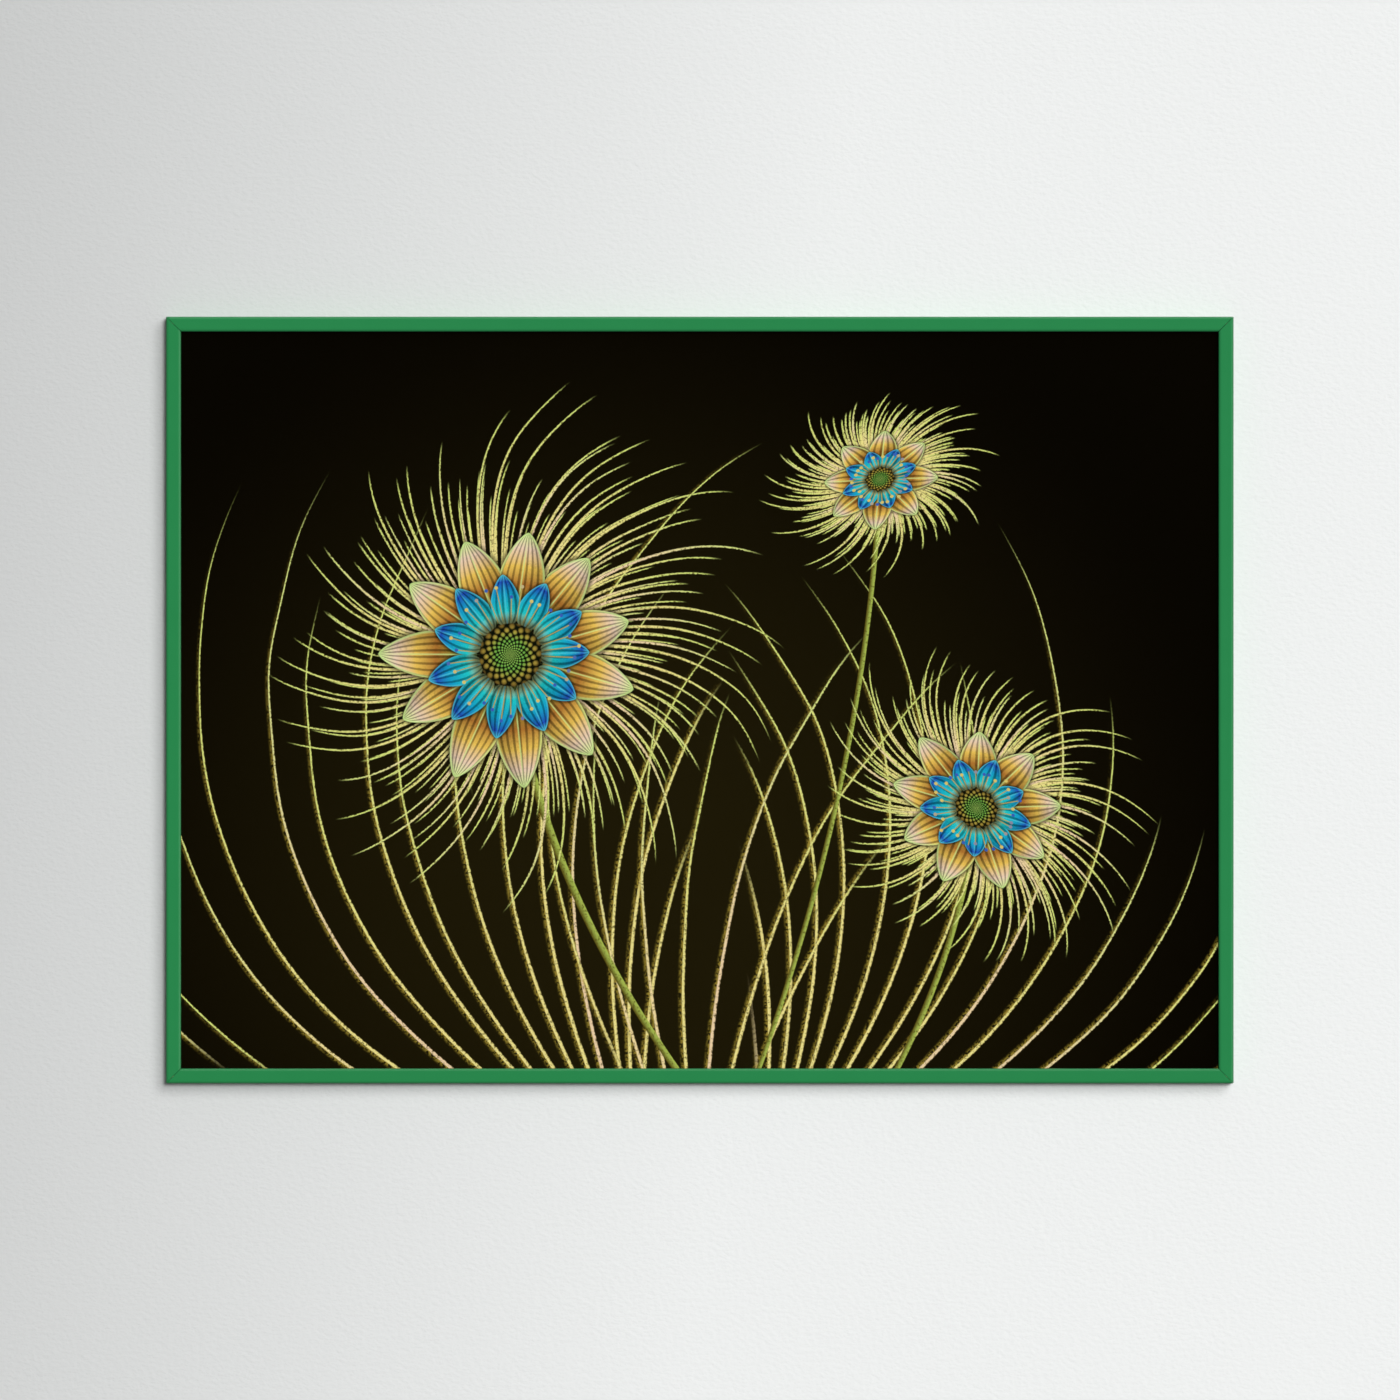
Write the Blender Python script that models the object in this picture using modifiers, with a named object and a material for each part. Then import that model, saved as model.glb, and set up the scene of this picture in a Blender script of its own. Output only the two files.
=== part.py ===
"""A framed wall print, 70 x 50 cm, hung by a sawtooth hanger.

Four mitred rails of lacquered moulding hold a stack of sheets in their rebate: a clear acrylic
front, the print and a fibreboard back. Steel tabs driven into the rails keep the stack in, and a
stamped hanger is riveted to the board.

Metres, +Z up, the picture faces -Y and the wall is the plane y = 0. The origin is on the wall, at
the nail: the middle notch of the hanger rests on it.
"""

import math

import bmesh
import bpy
from mathutils import Matrix, Vector

MM = 0.001
GAP = 0.3 * MM  # between pieces that touch

# The sheets and the moulding that frames them
SHEET_WIDTH = 700 * MM
SHEET_HEIGHT = 500 * MM
LIP_COVER = 5 * MM  # how far the lip covers the sheets' edge
SHEET_PLAY = 1 * MM  # room between the sheets and the rebate's wall
FACE_WIDTH = 10 * MM
FRAME_DEPTH = 20 * MM
LIP_THICKNESS = 3 * MM
ARRIS_RADIUS = 2 * MM  # the moulding's rounded front edges
BACK_ARRIS_RADIUS = 0.6 * MM
ARRIS_STEPS = 6

SIGHT_WIDTH = SHEET_WIDTH - 2 * LIP_COVER
SIGHT_HEIGHT = SHEET_HEIGHT - 2 * LIP_COVER
OUTER_WIDTH = SIGHT_WIDTH + 2 * FACE_WIDTH
OUTER_HEIGHT = SIGHT_HEIGHT + 2 * FACE_WIDTH
WALL_THICKNESS = FACE_WIDTH - LIP_COVER - SHEET_PLAY

# The nail stands this far under the frame's top edge
NAIL_DROP = 30 * MM
CENTRE = Vector((0, 0, NAIL_DROP - OUTER_HEIGHT / 2))

# The stack in the rebate, from the lip back to the tabs
GLAZING_THICKNESS = 2 * MM
PRINT_THICKNESS = 0.4 * MM
BOARD_THICKNESS = 3 * MM
GLAZING_FRONT = -FRAME_DEPTH + LIP_THICKNESS + GAP
PRINT_FRONT = GLAZING_FRONT + GLAZING_THICKNESS + GAP
BOARD_FRONT = PRINT_FRONT + PRINT_THICKNESS + GAP
BOARD_BACK = BOARD_FRONT + BOARD_THICKNESS

# The tabs
TAB_THICKNESS = 0.5 * MM
TAB_WIDTH = 6 * MM
TAB_IN_WOOD = 2.5 * MM
TAB_OVER_BOARD = 10 * MM
TAB_FRONT = BOARD_BACK + GAP
TAB_PLACES = {
    "top": (-262 * MM, -87 * MM, 87 * MM, 262 * MM),
    "bottom": (-262 * MM, -87 * MM, 87 * MM, 262 * MM),
    "left": (-160 * MM, 0.0, 160 * MM),
    "right": (-160 * MM, 0.0, 160 * MM),
}

# The hanger, a strip with its two feet on the board and its middle raised over the nail's head
STRIP_THICKNESS = 0.8 * MM
STRIP_WIDTH = 11 * MM
STRIP_HALF_LENGTH = 24 * MM
STRIP_CORNER_RADIUS = 2.5 * MM
STRIP_CORNER_STEPS = 4
RAISED_HALF_LENGTH = 11.5 * MM
RAMP_LENGTH = 5 * MM
RAISED_BY = 4.8 * MM
RAMP_STEPS = 8
NOTCH_DEPTH = 1.5 * MM
NOTCH_PITCH = 2.4 * MM
NOTCH_COUNT = 9
TOOTH_TIP = 0.3 * MM
STRIP_FRONT = BOARD_BACK + GAP
STRIP_CENTRE_Z = STRIP_WIDTH / 2 - NOTCH_DEPTH

# The rivets
RIVET_PLACES = {"left": -20 * MM, "right": 20 * MM}
RIVET_RADIUS = 1.5 * MM
RIVET_HEAD_RADIUS = 3.2 * MM
RIVET_HEAD_HEIGHT = 1.2 * MM
RIVET_FLANGE_RADIUS = 3 * MM
RIVET_FLANGE_THICKNESS = 0.6 * MM
RIVET_HEAD_BASE = STRIP_FRONT + STRIP_THICKNESS + GAP
COUNTERBORE_DEPTH = 2 * GAP + RIVET_FLANGE_THICKNESS
ROUND_STEPS = 20
CUT_PAST = 2 * MM  # how far a cutter runs past what it cuts

# Each rail is the top one, turned about the picture's centre
RAIL_TURNS = {"top": 0.0, "right": 90.0, "bottom": 180.0, "left": 270.0}


def material(name, rgb, roughness, metallic=0.0, alpha=1.0):
    made = bpy.data.materials.new(name)
    made.use_nodes = True
    shader = made.node_tree.nodes["Principled BSDF"]
    shader.inputs["Base Color"].default_value = (*rgb, 1)
    shader.inputs["Roughness"].default_value = roughness
    shader.inputs["Metallic"].default_value = metallic
    shader.inputs["Alpha"].default_value = alpha
    return made


def new_collection(name, hidden=False):
    made = bpy.data.collections.new(name)
    made.hide_render = hidden
    bpy.context.scene.collection.children.link(made)
    return made


def place(obj, collection, finish=None):
    """Moves obj into its collection and gives it its material."""
    for holder in list(obj.users_collection):
        holder.objects.unlink(obj)
    collection.objects.link(obj)
    if finish:
        obj.data.materials.append(finish)
    else:
        obj.hide_render = True
        obj.display_type = "WIRE"
    return obj


def box(name, low, high):
    """A cuboid between two corners."""
    low, high = Vector(low), Vector(high)
    bpy.ops.mesh.primitive_cube_add(size=1)
    obj = bpy.context.object
    obj.name = name
    size = Matrix.Diagonal((*(high - low), 1))
    obj.data.transform(Matrix.Translation((low + high) / 2) @ size)
    return obj


def prism(name, outline, thickness):
    """A flat outline in local XY, made solid to both sides along local Z."""
    curve = bpy.data.curves.new(name, "CURVE")
    curve.dimensions = "2D"
    curve.fill_mode = "BOTH"
    curve.extrude = thickness / 2
    spline = curve.splines.new("POLY")
    spline.points.add(len(outline) - 1)
    for point, (x, y) in zip(spline.points, outline):
        point.co = (x, y, 0, 1)
    spline.use_cyclic_u = True
    return as_mesh(bpy.data.objects.new(name, curve))


def as_mesh(source):
    """The mesh that a curve object makes, its caps welded to its sides, in place of the curve."""
    bpy.context.scene.collection.objects.link(source)
    bpy.context.view_layer.update()
    graph = bpy.context.evaluated_depsgraph_get()
    mesh = bpy.data.meshes.new_from_object(source.evaluated_get(graph))
    mesh.materials.clear()
    edited = bmesh.new()
    edited.from_mesh(mesh)
    bmesh.ops.remove_doubles(edited, verts=edited.verts, dist=0.001 * MM)
    bmesh.ops.recalc_face_normals(edited, faces=edited.faces)
    edited.to_mesh(mesh)
    edited.free()
    mesh.set_sharp_from_angle(angle=math.radians(30))
    name = source.name
    bpy.data.objects.remove(source)
    obj = bpy.data.objects.new(name, mesh)
    bpy.context.scene.collection.objects.link(obj)
    return obj


def rounded(outline, radii):
    """The outline with an arc in place of each square corner that has a radius."""
    points = []
    for index, (corner, radius) in enumerate(zip(outline, radii)):
        here = Vector(corner)
        if not radius:
            points.append(here)
            continue
        to_last = (Vector(outline[index - 1]) - here).normalized()
        to_next = (Vector(outline[(index + 1) % len(outline)]) - here).normalized()
        centre = here + radius * (to_last + to_next)
        for step in range(ARRIS_STEPS + 1):
            turn = math.pi / 2 * step / ARRIS_STEPS
            out = to_next * math.cos(turn) + to_last * math.sin(turn)
            points.append(centre - radius * out)
    return points


def subtract(obj, cutters):
    """Cuts every cutter in the collection from obj."""
    cut = obj.modifiers.new("cut", "BOOLEAN")
    cut.operation = "DIFFERENCE"
    cut.operand_type = "COLLECTION"
    cut.collection = cutters
    cut.solver = "EXACT"


def about_centre(degrees):
    """A turn about the picture's centre, clockwise as seen from the front."""
    turn = Matrix.Rotation(math.radians(degrees), 4, "Y")
    return Matrix.Translation(CENTRE) @ turn


def outer_half(side):
    """How far the side's outer face is from the picture's centre."""
    return (OUTER_HEIGHT if side in ("top", "bottom") else OUTER_WIDTH) / 2


def rail(side, collection, finish, slots):
    """A length of moulding, cut at 45 degrees at both ends.

    The section's x runs inwards from the outer face, and its y from the front to the wall. It has
    the lip in front, the rebate behind it and a thin wall that reaches the wall of the room.
    """
    half = outer_half(side)
    length = outer_half("left" if side in ("top", "bottom") else "top") * 2
    section = [
        (0, 0),
        (0, -FRAME_DEPTH),
        (FACE_WIDTH, -FRAME_DEPTH),
        (FACE_WIDTH, -FRAME_DEPTH + LIP_THICKNESS),
        (WALL_THICKNESS, -FRAME_DEPTH + LIP_THICKNESS),
        (WALL_THICKNESS, 0),
    ]
    arris = [BACK_ARRIS_RADIUS, ARRIS_RADIUS, ARRIS_RADIUS, 0, 0, 0]
    obj = prism(f"rail_{side}", rounded(section, arris), length)
    # The section's x points down from the top edge, and its length lies along X
    lay = Matrix(((0, 0, 1, 0), (0, 1, 0, 0), (-1, 0, 0, half), (0, 0, 0, 1)))
    obj.data.transform(lay)
    mitre(obj.data, length / 2, half)
    obj.data.transform(about_centre(RAIL_TURNS[side]))
    subtract(obj, slots)
    return place(obj, collection, finish)


def mitre(mesh, half_length, half_height):
    """Cuts both ends of a top rail on the 45 degree planes, half a gap short of them."""
    edited = bmesh.new()
    edited.from_mesh(mesh)
    for end in (-1, 1):
        outwards = Vector((end, 0, -1)).normalized()
        corner = Vector((end * half_length, 0, half_height))
        cut = bmesh.ops.bisect_plane(
            edited,
            geom=[*edited.verts, *edited.edges, *edited.faces],
            plane_co=corner - outwards * GAP / 2,
            plane_no=outwards,
            clear_outer=True,
        )
        edges = [part for part in cut["geom_cut"] if isinstance(part, bmesh.types.BMEdge)]
        bmesh.ops.contextual_create(edited, geom=edges)
    bmesh.ops.recalc_face_normals(edited, faces=edited.faces)
    edited.to_mesh(mesh)
    edited.free()


def tab_slot(side, along, collection):
    """The narrow slot in a rail's wall that a tab is driven into."""
    inner = outer_half(side) - WALL_THICKNESS
    name = f"slot_{side}_{round(along / MM)}"
    low = (along - TAB_WIDTH / 2 - GAP, TAB_FRONT - GAP, inner - CUT_PAST)
    high = (along + TAB_WIDTH / 2 + GAP, TAB_FRONT + TAB_THICKNESS + GAP, inner + TAB_IN_WOOD + GAP)
    slot = box(name, low, high)
    slot.data.transform(about_centre(RAIL_TURNS[side]))
    return place(slot, collection)


def tab(side, number, along, collection, finish):
    """A flat steel point: square where it is driven in, round at the end that holds the board."""
    inner = outer_half(side) - WALL_THICKNESS
    half = TAB_WIDTH / 2
    outline = [
        (-half, TAB_IN_WOOD),
        (-half, -TAB_OVER_BOARD),
        (half, -TAB_OVER_BOARD),
        (half, TAB_IN_WOOD),
    ]
    tip = half * 0.9
    obj = prism(f"tab_{side}_{number}", rounded(outline, [0, tip, tip, 0]), TAB_THICKNESS)
    # The outline's y points up and its thickness lies along Y
    middle = TAB_FRONT + TAB_THICKNESS / 2
    lay = Matrix(((1, 0, 0, along), (0, 0, -1, middle), (0, 1, 0, inner), (0, 0, 0, 1)))
    obj.data.transform(about_centre(RAIL_TURNS[side]) @ lay)
    return place(obj, collection, finish)


def sheet(name, front, thickness, collection, finish):
    """A flat sheet in the rebate."""
    half = Vector((SHEET_WIDTH / 2, 0, SHEET_HEIGHT / 2))
    low = CENTRE - half + Vector((0, front, 0))
    high = CENTRE + half + Vector((0, front + thickness, 0))
    return place(box(name, low, high), collection, finish)


def drill(name, radius, front, back, x, collection):
    """A round cutter along Y, at the height of the rivets."""
    bpy.ops.mesh.primitive_cylinder_add(
        vertices=ROUND_STEPS,
        radius=radius,
        depth=back - front,
        location=(x, (front + back) / 2, STRIP_CENTRE_Z),
        rotation=(math.pi / 2, 0, 0),
    )
    obj = bpy.context.object
    obj.name = name
    return place(obj, collection)


def hanger(collection, finish, cutters):
    """The strip: feet on the board, two smooth ramps and a raised middle with notches below."""
    path = []
    for end in (-1, 1):
        ramp = []
        for step in range(RAMP_STEPS + 1):
            share = step / RAMP_STEPS
            rise = share * share * (3 - 2 * share)
            run = RAISED_HALF_LENGTH + RAMP_LENGTH * (1 - share)
            ramp.append((end * run, STRIP_FRONT + RAISED_BY * rise))
        ramp.insert(0, (end * STRIP_HALF_LENGTH, STRIP_FRONT))
        path += ramp if end < 0 else ramp[::-1]

    curve = bpy.data.curves.new("hanger", "CURVE")
    curve.dimensions = "2D"
    curve.fill_mode = "NONE"
    curve.extrude = STRIP_WIDTH / 2
    spline = curve.splines.new("POLY")
    spline.points.add(len(path) - 1)
    for point, (x, y) in zip(spline.points, path):
        point.co = (x, y, 0, 1)
    obj = as_mesh(bpy.data.objects.new("hanger", curve))
    obj.data.transform(Matrix.Translation((0, 0, STRIP_CENTRE_Z)))
    if obj.data.polygons[0].normal.y < 0:
        obj.data.flip_normals()
    round_corners(obj.data, STRIP_CORNER_RADIUS)
    thicken = obj.modifiers.new("thickness", "SOLIDIFY")
    thicken.thickness = STRIP_THICKNESS
    thicken.offset = 1
    thicken.use_even_offset = True
    subtract(obj, cutters)
    return place(obj, collection, finish)


def round_corners(mesh, radius):
    """Rounds the four corners of a strip that is still one layer of faces."""
    edited = bmesh.new()
    edited.from_mesh(mesh)
    corners = [vertex for vertex in edited.verts if len(vertex.link_edges) == 2]
    bmesh.ops.bevel(
        edited,
        geom=corners,
        offset=radius,
        segments=STRIP_CORNER_STEPS,
        profile=0.5,
        affect="VERTICES",
    )
    edited.to_mesh(mesh)
    edited.free()


def notch_cutter(collection):
    """Nine V notches side by side, whose tops lie at z = 0, the middle one at the origin."""
    low = -NOTCH_DEPTH
    below = low - CUT_PAST
    half_mouth = (NOTCH_PITCH - TOOTH_TIP) / 2
    outline = []
    for number in range(NOTCH_COUNT):
        x = (number - (NOTCH_COUNT - 1) / 2) * NOTCH_PITCH
        outline += [(x - half_mouth, low), (x, 0), (x + half_mouth, low)]
    outline += [(outline[-1][0], below), (outline[0][0], below)]
    thickness = RAISED_BY + 2 * CUT_PAST
    obj = prism("notches", outline, thickness)
    middle = STRIP_FRONT + RAISED_BY
    obj.data.transform(Matrix(((1, 0, 0, 0), (0, 0, -1, middle), (0, 1, 0, 0), (0, 0, 0, 1))))
    return place(obj, collection)


def rivet(side, x, collection, finish):
    """A domed rivet, turned about its own axis, its far end spread in the board's counterbore."""
    shank_end = BOARD_FRONT + GAP + RIVET_FLANGE_THICKNESS
    head_top = RIVET_HEAD_BASE + RIVET_HEAD_HEIGHT
    profile = []
    dome_steps = 5
    for step in range(dome_steps + 1):
        turn = math.pi / 2 * step / dome_steps
        radius = RIVET_HEAD_RADIUS * math.sin(turn)
        profile.append((radius, RIVET_HEAD_BASE + RIVET_HEAD_HEIGHT * math.cos(turn)))
    profile += [
        (RIVET_RADIUS, RIVET_HEAD_BASE),
        (RIVET_RADIUS, shank_end),
        (RIVET_FLANGE_RADIUS, shank_end),
        (RIVET_FLANGE_RADIUS, BOARD_FRONT + GAP),
        (0, BOARD_FRONT + GAP),
    ]
    mesh = bpy.data.meshes.new(f"rivet_{side}")
    points = [(radius, 0, y - head_top) for radius, y in profile]
    mesh.from_pydata(points, [(i, i + 1) for i in range(len(points) - 1)], [])
    obj = bpy.data.objects.new(f"rivet_{side}", mesh)
    # Local Z is the rivet's axis, and it points out of the back
    obj.rotation_euler = (-math.pi / 2, 0, 0)
    obj.location = (x, head_top, STRIP_CENTRE_Z)
    turned = obj.modifiers.new("turn", "SCREW")
    turned.steps = turned.render_steps = ROUND_STEPS
    turned.use_merge_vertices = True
    turned.merge_threshold = 0.01 * MM
    return place(obj, collection, finish)


def main():
    for obj in list(bpy.data.objects):
        bpy.data.objects.remove(obj)

    lacquer = material("green_lacquer", (0.024, 0.238, 0.074), 0.45)
    acrylic = material("clear_acrylic", (0.95, 0.97, 0.96), 0.03, alpha=0.15)
    ink = material("printed_paper", (0.012, 0.009, 0.002), 0.5)
    fibreboard = material("fibreboard", (0.19, 0.10, 0.05), 0.8)
    zinc = material("zinc_plated_steel", (0.55, 0.56, 0.57), 0.35, metallic=1.0)

    parts = new_collection("framed_print")
    slots = new_collection("tab_slots", hidden=True)
    board_cuts = new_collection("board_cuts", hidden=True)
    strip_cuts = new_collection("strip_cuts", hidden=True)

    for side, places in TAB_PLACES.items():
        for along in places:
            tab_slot(side, along, slots)
    for side in RAIL_TURNS:
        rail(side, parts, lacquer, slots)
    for side, places in TAB_PLACES.items():
        for number, along in enumerate(places, start=1):
            tab(side, number, along, parts, zinc)

    sheet("glazing", GLAZING_FRONT, GLAZING_THICKNESS, parts, acrylic)
    sheet("print", PRINT_FRONT, PRINT_THICKNESS, parts, ink)
    board = sheet("backing_board", BOARD_FRONT, BOARD_THICKNESS, parts, fibreboard)

    hole_radius = RIVET_RADIUS + GAP
    bore_radius = RIVET_FLANGE_RADIUS + GAP
    bore_floor = BOARD_FRONT + COUNTERBORE_DEPTH
    for side, x in RIVET_PLACES.items():
        past_board = BOARD_BACK + CUT_PAST
        drill(f"board_hole_{side}", hole_radius, BOARD_FRONT + GAP, past_board, x, board_cuts)
        drill(f"counterbore_{side}", bore_radius, BOARD_FRONT - CUT_PAST, bore_floor, x, board_cuts)
        drill(f"strip_hole_{side}", hole_radius, BOARD_FRONT, past_board, x, strip_cuts)
        rivet(side, x, parts, zinc)
    subtract(board, board_cuts)
    notch_cutter(strip_cuts)
    hanger(parts, zinc, strip_cuts)


main()
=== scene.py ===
"""The looks of a framed print that hangs flat on a wall.

The solids hold the frame's build. Here the rails, the tabs, the hanger and its rivets are made
again with their fine edges, and the sheets keep their solids and get their finish. Metres, +Z up;
the picture faces -Y and the wall is the plane y = 0.
"""

import math

import bpy
import numpy as np
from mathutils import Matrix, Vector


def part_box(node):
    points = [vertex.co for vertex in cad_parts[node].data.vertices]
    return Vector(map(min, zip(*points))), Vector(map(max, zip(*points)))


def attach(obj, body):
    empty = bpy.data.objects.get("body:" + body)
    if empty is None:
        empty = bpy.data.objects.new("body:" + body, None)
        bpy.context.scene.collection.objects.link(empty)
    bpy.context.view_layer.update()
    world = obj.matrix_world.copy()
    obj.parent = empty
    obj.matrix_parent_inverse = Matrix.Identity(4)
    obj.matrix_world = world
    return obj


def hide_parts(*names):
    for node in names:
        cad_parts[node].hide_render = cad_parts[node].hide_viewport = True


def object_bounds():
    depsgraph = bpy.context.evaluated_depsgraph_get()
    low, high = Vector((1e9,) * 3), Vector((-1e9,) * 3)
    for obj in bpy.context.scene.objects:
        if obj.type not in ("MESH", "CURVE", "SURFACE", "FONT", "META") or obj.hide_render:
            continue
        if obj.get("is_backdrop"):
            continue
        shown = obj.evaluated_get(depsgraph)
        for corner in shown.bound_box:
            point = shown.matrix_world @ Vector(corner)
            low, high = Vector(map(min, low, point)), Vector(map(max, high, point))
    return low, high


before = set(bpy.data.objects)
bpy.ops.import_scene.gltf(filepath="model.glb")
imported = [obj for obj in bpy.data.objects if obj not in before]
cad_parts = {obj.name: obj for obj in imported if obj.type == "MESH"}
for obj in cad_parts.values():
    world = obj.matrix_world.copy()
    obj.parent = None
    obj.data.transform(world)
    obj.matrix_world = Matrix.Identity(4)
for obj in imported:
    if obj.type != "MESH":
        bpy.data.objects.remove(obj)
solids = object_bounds()

# The room: a pale plastered wall right behind the frame, a pale floor well below it, a soft key
# light from the upper right and a faint even light from all round.
FRAME_LOW = np.array(solids[0])
FRAME_HIGH = np.array(solids[1])
CENTRE_X, _, CENTRE_Z = (FRAME_LOW + FRAME_HIGH) / 2
WALL_BEHIND = 0.0003  # a little behind the frame's back, so that no two faces lie in one plane
WALL_WIDTH = 7.0
WALL_TOP = 1.6  # above the frame's middle
FLOOR_BELOW = 1.5
FLOOR_DEPTH = 5.0  # to each side of the wall


class Amount:
    """A number that varies over a surface: +, -, * and / between Amounts add Math nodes."""

    def __init__(self, socket):
        self.socket = socket

    def math(self, operation, *others):
        """One sum on this Amount and up to two more Amounts or numbers."""
        tree = self.socket.id_data
        node = tree.nodes.new("ShaderNodeMath")
        node.operation = operation
        for put, value in zip(node.inputs, (self, *others)):
            feed(value, put)
        return Amount(node.outputs[0])

    def __add__(self, other):
        return self.math("ADD", other)

    def __sub__(self, other):
        return self.math("SUBTRACT", other)

    def __mul__(self, other):
        return self.math("MULTIPLY", other)

    def __truediv__(self, other):
        return self.math("DIVIDE", other)

    def ramp(self, low, high):
        """0 at low and beyond, 1 at high and beyond, with a soft start and end between them."""
        node = self.socket.id_data.nodes.new("ShaderNodeMapRange")
        node.interpolation_type = "SMOOTHSTEP"
        node.clamp = False  # a smooth step stays within its ends by itself
        feed(self, node.inputs["Value"])
        feed(low, node.inputs["From Min"])
        feed(high, node.inputs["From Max"])
        return Amount(node.outputs["Result"])


def feed(value, put):
    """Links an Amount, or sets a number, on an input."""
    if isinstance(value, Amount):
        put.id_data.links.new(value.socket, put)
    else:
        put.default_value = value


def finish(name, roughness=0.5, metallic=0.0):
    """A new material, its node tree and its one shader."""
    made = bpy.data.materials.new(name)
    made.use_nodes = True
    shader = made.node_tree.nodes["Principled BSDF"]
    shader.inputs["Roughness"].default_value = roughness
    shader.inputs["Metallic"].default_value = metallic
    return made, made.node_tree, shader


def place_on(tree):
    """The point's place on the object, in metres, as a vector socket."""
    return tree.nodes.new("ShaderNodeTexCoord").outputs["Object"]


def parts_of(three):
    """The three numbers of a vector or colour socket."""
    kind = "ShaderNodeSeparateColor" if three.type == "RGBA" else "ShaderNodeSeparateXYZ"
    split = three.id_data.nodes.new(kind)
    three.id_data.links.new(three, split.inputs[0])
    return [Amount(part) for part in split.outputs]


def noise(where, cells, detail=2.0, roughness=0.5):
    """Smooth noise from 0 to 1, with so many cells a metre along X, Y and Z."""
    tree = where.id_data
    scaled = tree.nodes.new("ShaderNodeMapping")
    scaled.inputs["Scale"].default_value = cells
    texture = tree.nodes.new("ShaderNodeTexNoise")
    texture.inputs["Scale"].default_value = 1.0
    texture.inputs["Detail"].default_value = detail
    texture.inputs["Roughness"].default_value = roughness
    tree.links.new(where, scaled.inputs["Vector"])
    tree.links.new(scaled.outputs[0], texture.inputs["Vector"])
    return Amount(texture.outputs["Fac"])


def blend(under, over, share):
    """The colour under, covered by the colour over as far as share says."""
    tree = share.socket.id_data
    mix = tree.nodes.new("ShaderNodeMix")
    mix.data_type = "RGBA"
    feed(share, mix.inputs["Factor"])
    for put, colour in ((mix.inputs["A"], under), (mix.inputs["B"], over)):
        if isinstance(colour, bpy.types.NodeSocket):
            tree.links.new(colour, put)
        else:
            put.default_value = (*colour, 1)
    return mix.outputs["Result"]


def ladder(amount, rungs):
    """A colour for each amount, from (amount, colour) rungs with even steps between them."""
    node = amount.socket.id_data.nodes.new("ShaderNodeValToRGB")
    feed(amount, node.inputs["Fac"])
    for _ in rungs[2:]:
        node.color_ramp.elements.new(0.5)
    for element, (place, colour) in zip(node.color_ramp.elements, rungs):
        element.position = place
        element.color = (*colour, 1)
    return node.outputs["Color"]


def relief(shader, height, depth):
    """Bumps up to depth metres high, from an Amount between 0 and 1."""
    tree = shader.id_data
    bump = tree.nodes.new("ShaderNodeBump")
    bump.inputs["Distance"].default_value = depth
    feed(height, bump.inputs["Height"])
    tree.links.new(bump.outputs[0], shader.inputs["Normal"])


def sheet_of(name, points):
    """One flat face through four points, for the room."""
    mesh = bpy.data.meshes.new(name)
    mesh.from_pydata(points, [], [(0, 1, 2, 3)])
    obj = bpy.data.objects.new(name, mesh)
    bpy.context.scene.collection.objects.link(obj)
    obj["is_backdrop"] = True
    return obj


# Painted shade: the wall's colour is darker to the left, in place of light that falls off away from
# the right
WALL_PAINTED_SHADE_TONES = [  # metres right of the frame's middle, and the wall's reflectance there, darker to the left as painted shade
    (-0.53, 0.622),
    (0.05, 0.912),
    (0.47, 0.935),
]
WALL_TINT = (0.992, 1.008, 1.0)
PAINTED_SHADE_LEAN = -0.136  # the painted shade's pale part reaches further left lower down
MOTTLE_GREY = (0.80, 0.80, 0.80)
MOTTLE_SHARE = 0.03
PLASTER_RELIEF = 0.00053  # metres, as all reliefs

plaster, tree, shader = finish("plaster", roughness=0.9)
where = place_on(tree)
x, _, z = parts_of(where)
# The ladder paints the wall darker towards the left: painted shade, not the plaster's own colour
first, last = WALL_PAINTED_SHADE_TONES[0][0], WALL_PAINTED_SHADE_TONES[-1][0]
rightness = (x + (z - CENTRE_Z) * PAINTED_SHADE_LEAN - CENTRE_X - first) / (last - first)
rungs = [
    ((at - first) / (last - first), [tone * part for part in WALL_TINT])
    for at, tone in WALL_PAINTED_SHADE_TONES
]
mottle = noise(where, (60, 60, 60), detail=5, roughness=0.7)
colour = blend(ladder(rightness, rungs), MOTTLE_GREY, mottle * MOTTLE_SHARE)
tree.links.new(colour, shader.inputs["Base Color"])
grain = noise(where, (250, 400, 400), detail=2)
relief(shader, grain + mottle * 0.6, PLASTER_RELIEF)
see_through = tree.nodes.new("ShaderNodeBsdfTransparent")
either = tree.nodes.new("ShaderNodeMixShader")
side = tree.nodes.new("ShaderNodeNewGeometry")
tree.links.new(side.outputs["Backfacing"], either.inputs[0])
tree.links.new(shader.outputs[0], either.inputs[1])
tree.links.new(see_through.outputs[0], either.inputs[2])
tree.links.new(either.outputs[0], tree.nodes["Material Output"].inputs["Surface"])

left, right = CENTRE_X - WALL_WIDTH / 2, CENTRE_X + WALL_WIDTH / 2
floor_z = CENTRE_Z - FLOOR_BELOW
wall = sheet_of(
    "wall",
    [
        (left, WALL_BEHIND, floor_z),
        (right, WALL_BEHIND, floor_z),
        (right, WALL_BEHIND, CENTRE_Z + WALL_TOP),
        (left, WALL_BEHIND, CENTRE_Z + WALL_TOP),
    ],
)
wall.data.materials.append(plaster)
# The back of the frame is lit, and seen, as if the wall weren't there
wall.visible_shadow = False
wall.visible_diffuse = False
wall.visible_glossy = False
wall.visible_transmission = False

SCREED_DARK = (0.72, 0.71, 0.69)
SCREED_PALE = (0.80, 0.79, 0.77)

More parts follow.
